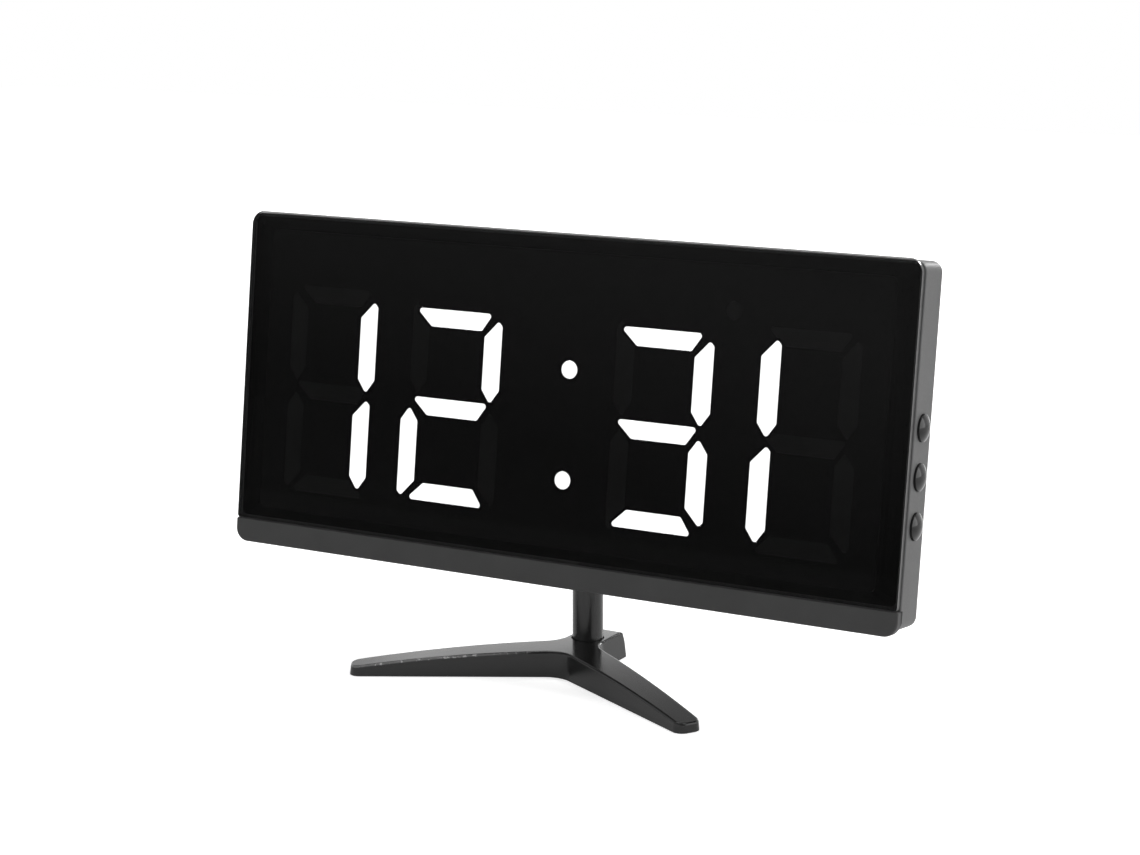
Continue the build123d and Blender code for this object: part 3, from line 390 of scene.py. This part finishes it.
def dress_nodes():
    """A procedural material on every CAD node."""
    dress(plastic("case_satin"), "case_frame")
    dress(plastic("chin_satin"), "chin_bar")
    dress(lens_material(), "front_lens")
    dress(plastic("cover_texture"), "rear_cover", "battery_cap")
    dress(plastic("button_gloss"), "down_button", "up_button", "set_button")
    dress(film_material(), "lens_tape", "display_mask")
    dress(plastic("reflector_white"), "reflector_block")
    dress(lit_material(), *(f"digit_{place}_lit" for place in (1, 2, 3, 4)), "colon_lit")
    dress(plastic("segment_unlit"), "segments_unlit")
    dress(plastic("led_phosphor"), "led_chips")
    dress(board_material(), "circuit_board")
    chip = plastic("chip_black")
    dress(chip, "controller_chip", "driver_chip", "buzzer", "resistors")
    dress(chip, "switch_bodies", "battery_holder")
    nylon = plastic("nylon_cream")
    dress(nylon, "friction_washers", "down_plunger", "up_plunger", "set_plunger", "post_bush")
    bright = metal_material("metal_bright", colour=0.62, rough=0.25, stretch=(1.0, 1.0, 0.1))
    dress(bright, "clock_crystal", "capacitors", "power_socket", "battery_contact", "coin_cell")
    dress(bright, "post_foot", "spring_washer", "keeper_washer")
    black = metal_material("metal_blackened", colour=0.10, rough=0.35, stretch=(1.0, 1.0, 0.3))
    dress(black, "board_screws", "case_screws", "bracket_screws")
    dress(black, "hinge_bolt", "hinge_nut", "post_screw")
    # Painted reflection on the post: vertical streaks in its colour.
    post_paint = paint_material("post_paint", POST_TONE, POST_REFLECTION_STREAK)[0]
    dress(post_paint.material, "post_tube", "post_head")
    dress(foot_material(), "foot_casting")
    bracket_paint = paint_material("bracket_paint", BRACKET_TONE)[0]
    dress(bracket_paint.material, "tilt_bracket")
    dress(plastic("pad_rubber"), "foot_pads")


dress_nodes()


# Floor, world and lamps. A gloss is the share of the white surroundings that a reflection finds.
FLOOR_SIZE = 3.0
FLOOR_CELLS = 3.0
FLOOR_TONE = (0.80, 0.82)
FLOOR_GLOW = (0.72, 1.0)
FLOOR_GLOW_REACH = (0.3, 1.2)
FLOOR_FRONT_SPAN = (-0.6, -0.1)
FLOOR_RIGHT_SPAN = (0.12, 0.22)
FLOOR_RIGHT_GLOSS = 0.15
FLOOR_NEAR_SPAN = (0.05, 0.6)
FLOOR_NEAR_GLOSS = 0.35
WORLD_SOFT = 0.32
WORLD_SLANT_FROM = 0.45
WORLD_SLANT = 0.25
WORLD_LOW_SPAN = (0.0, 0.09)
WORLD_LEFT_SPAN = (-0.2, 0.3)
WORLD_BEHIND_SPAN = (0.1, 0.5)
WORLD_OVERHEAD_SPAN = (0.30, 0.48)
FRONT_LOW_GLOSS = 0.1
OVERHEAD_GLOSS = 0.1
LAMP_TARGET = (0.0, 0.0, 0.05)

# Two soft lamps above, one on the right, and two weak glares from behind: place, size and power
LAMPS = {
    "lamp_top_left": ((-0.30, 0.25, 1.1), 0.4, 3.0),
    "lamp_top_right": ((0.30, 0.25, 1.1), 0.4, 3.0),
    "lamp_right": ((1.1, 0.12, 0.4), 1.1, 6.8),
    "lamp_back": ((-0.76, 1.28, 0.27), 0.5, 0.50),
    "lamp_corner": ((0.12, 1.44, 0.48), 0.3, 3.4),
}


def seen_directly(tree, gloss):
    """One for the camera and through glass, `gloss` for reflections, zero for other light."""
    path = tree.nodes.new("ShaderNodeLightPath")
    camera, through = path.outputs["Is Camera Ray"], path.outputs["Is Transmission Ray"]
    seen = calculate(tree, "MAXIMUM", camera, through)
    reflected = calculate(tree, "MULTIPLY", path.outputs["Is Glossy Ray"], gloss)
    return calculate(tree, "MAXIMUM", seen, reflected)


def add_floor():
    """Pale floor that keeps the clock's shadow and turns to plain white away from it.

    Reflections find less light on it near the clock, in front, and on the right.
    """
    half = FLOOR_SIZE / 2.0
    mesh = bpy.data.meshes.new("floor")
    corners = [(-half, -half, 0.0), (half, -half, 0.0), (half, half, 0.0), (-half, half, 0.0)]
    mesh.from_pydata(corners, [], [(0, 1, 2, 3)])
    floor = bpy.data.objects.new("floor", mesh)
    bpy.context.scene.collection.objects.link(floor)
    shader = Shader("floor_pale")
    tree = shader.tree
    shader.drive(Base_Color=shader.spread(shader.noise(FLOOR_CELLS, detail=2.0), FLOOR_TONE))
    reach = shader.add("ShaderNodeVectorMath", operation="LENGTH")
    shader.link(shader.place(), reach.inputs[0])
    glow = map_range(tree, reach.outputs["Value"], FLOOR_GLOW_REACH, FLOOR_GLOW)
    place = shader.add("ShaderNodeSeparateXYZ")
    shader.link(shader.place(), place.inputs["Vector"])
    front = map_range(tree, place.outputs["Y"], FLOOR_FRONT_SPAN, (FRONT_LOW_GLOSS, 1.0))
    right = map_range(tree, place.outputs["X"], FLOOR_RIGHT_SPAN, (1.0, FLOOR_RIGHT_GLOSS))
    near = map_range(tree, reach.outputs["Value"], FLOOR_NEAR_SPAN, (FLOOR_NEAR_GLOSS, 1.0))
    gloss = shader.math("MULTIPLY", shader.math("MULTIPLY", front, near), right)
    shader.drive(Emission_Strength=shader.math("MULTIPLY", glow, seen_directly(tree, gloss)))
    shader.set(Roughness=0.9, Specular_IOR_Level=0.0, Emission_Color=(1.0, 1.0, 1.0, 1.0))
    mesh.materials.append(shader.material)


def add_world():
    """White surroundings for the camera, reflections and glass, and softer light on the clock.

    Reflections find less light overhead, and low down in front or on the right.
    """
    world = bpy.data.worlds.new("world")
    world.use_nodes = True
    bpy.context.scene.world = world
    tree = world.node_tree
    background = tree.nodes["Background"]
    background.inputs["Color"].default_value = (1.0, 1.0, 1.0, 1.0)
    direction = tree.nodes.new("ShaderNodeSeparateXYZ")
    ray = tree.nodes.new("ShaderNodeTexCoord").outputs["Generated"]
    tree.links.new(ray, direction.inputs["Vector"])
    x, y, z = direction.outputs
    slant = calculate(tree, "MULTIPLY", calculate(tree, "ADD", x, WORLD_SLANT_FROM), WORLD_SLANT)
    level = calculate(tree, "ADD", z, slant)
    low = map_range(tree, level, WORLD_LOW_SPAN, (FRONT_LOW_GLOSS, 1.0))
    left = map_range(tree, x, WORLD_LEFT_SPAN, (1.0, 0.0))
    low = calculate(tree, "MULTIPLY", low, left)
    behind = map_range(tree, y, WORLD_BEHIND_SPAN, (0.0, 1.0))
    overhead = map_range(tree, z, WORLD_OVERHEAD_SPAN, (1.0, OVERHEAD_GLOSS))
    gloss = calculate(tree, "MULTIPLY", calculate(tree, "MAXIMUM", low, behind), overhead)
    strength = map_range(tree, seen_directly(tree, gloss), (0.0, 1.0), (WORLD_SOFT, 1.0))
    tree.links.new(strength, background.inputs["Strength"])


def add_lamps():
    """Square soft lamps, aimed at the clock."""
    for name, (place, size, power) in LAMPS.items():
        data = bpy.data.lights.new(name, "AREA")
        data.shape = "SQUARE"
        data.size = size
        data.energy = power
        lamp = bpy.data.objects.new(name, data)
        lamp.location = place
        aim = Vector(LAMP_TARGET) - Vector(place)
        lamp.rotation_euler = aim.to_track_quat("-Z", "Y").to_euler()
        bpy.context.scene.collection.objects.link(lamp)


add_floor()
add_world()
add_lamps()
bpy.context.scene.view_settings.view_transform = "Standard"
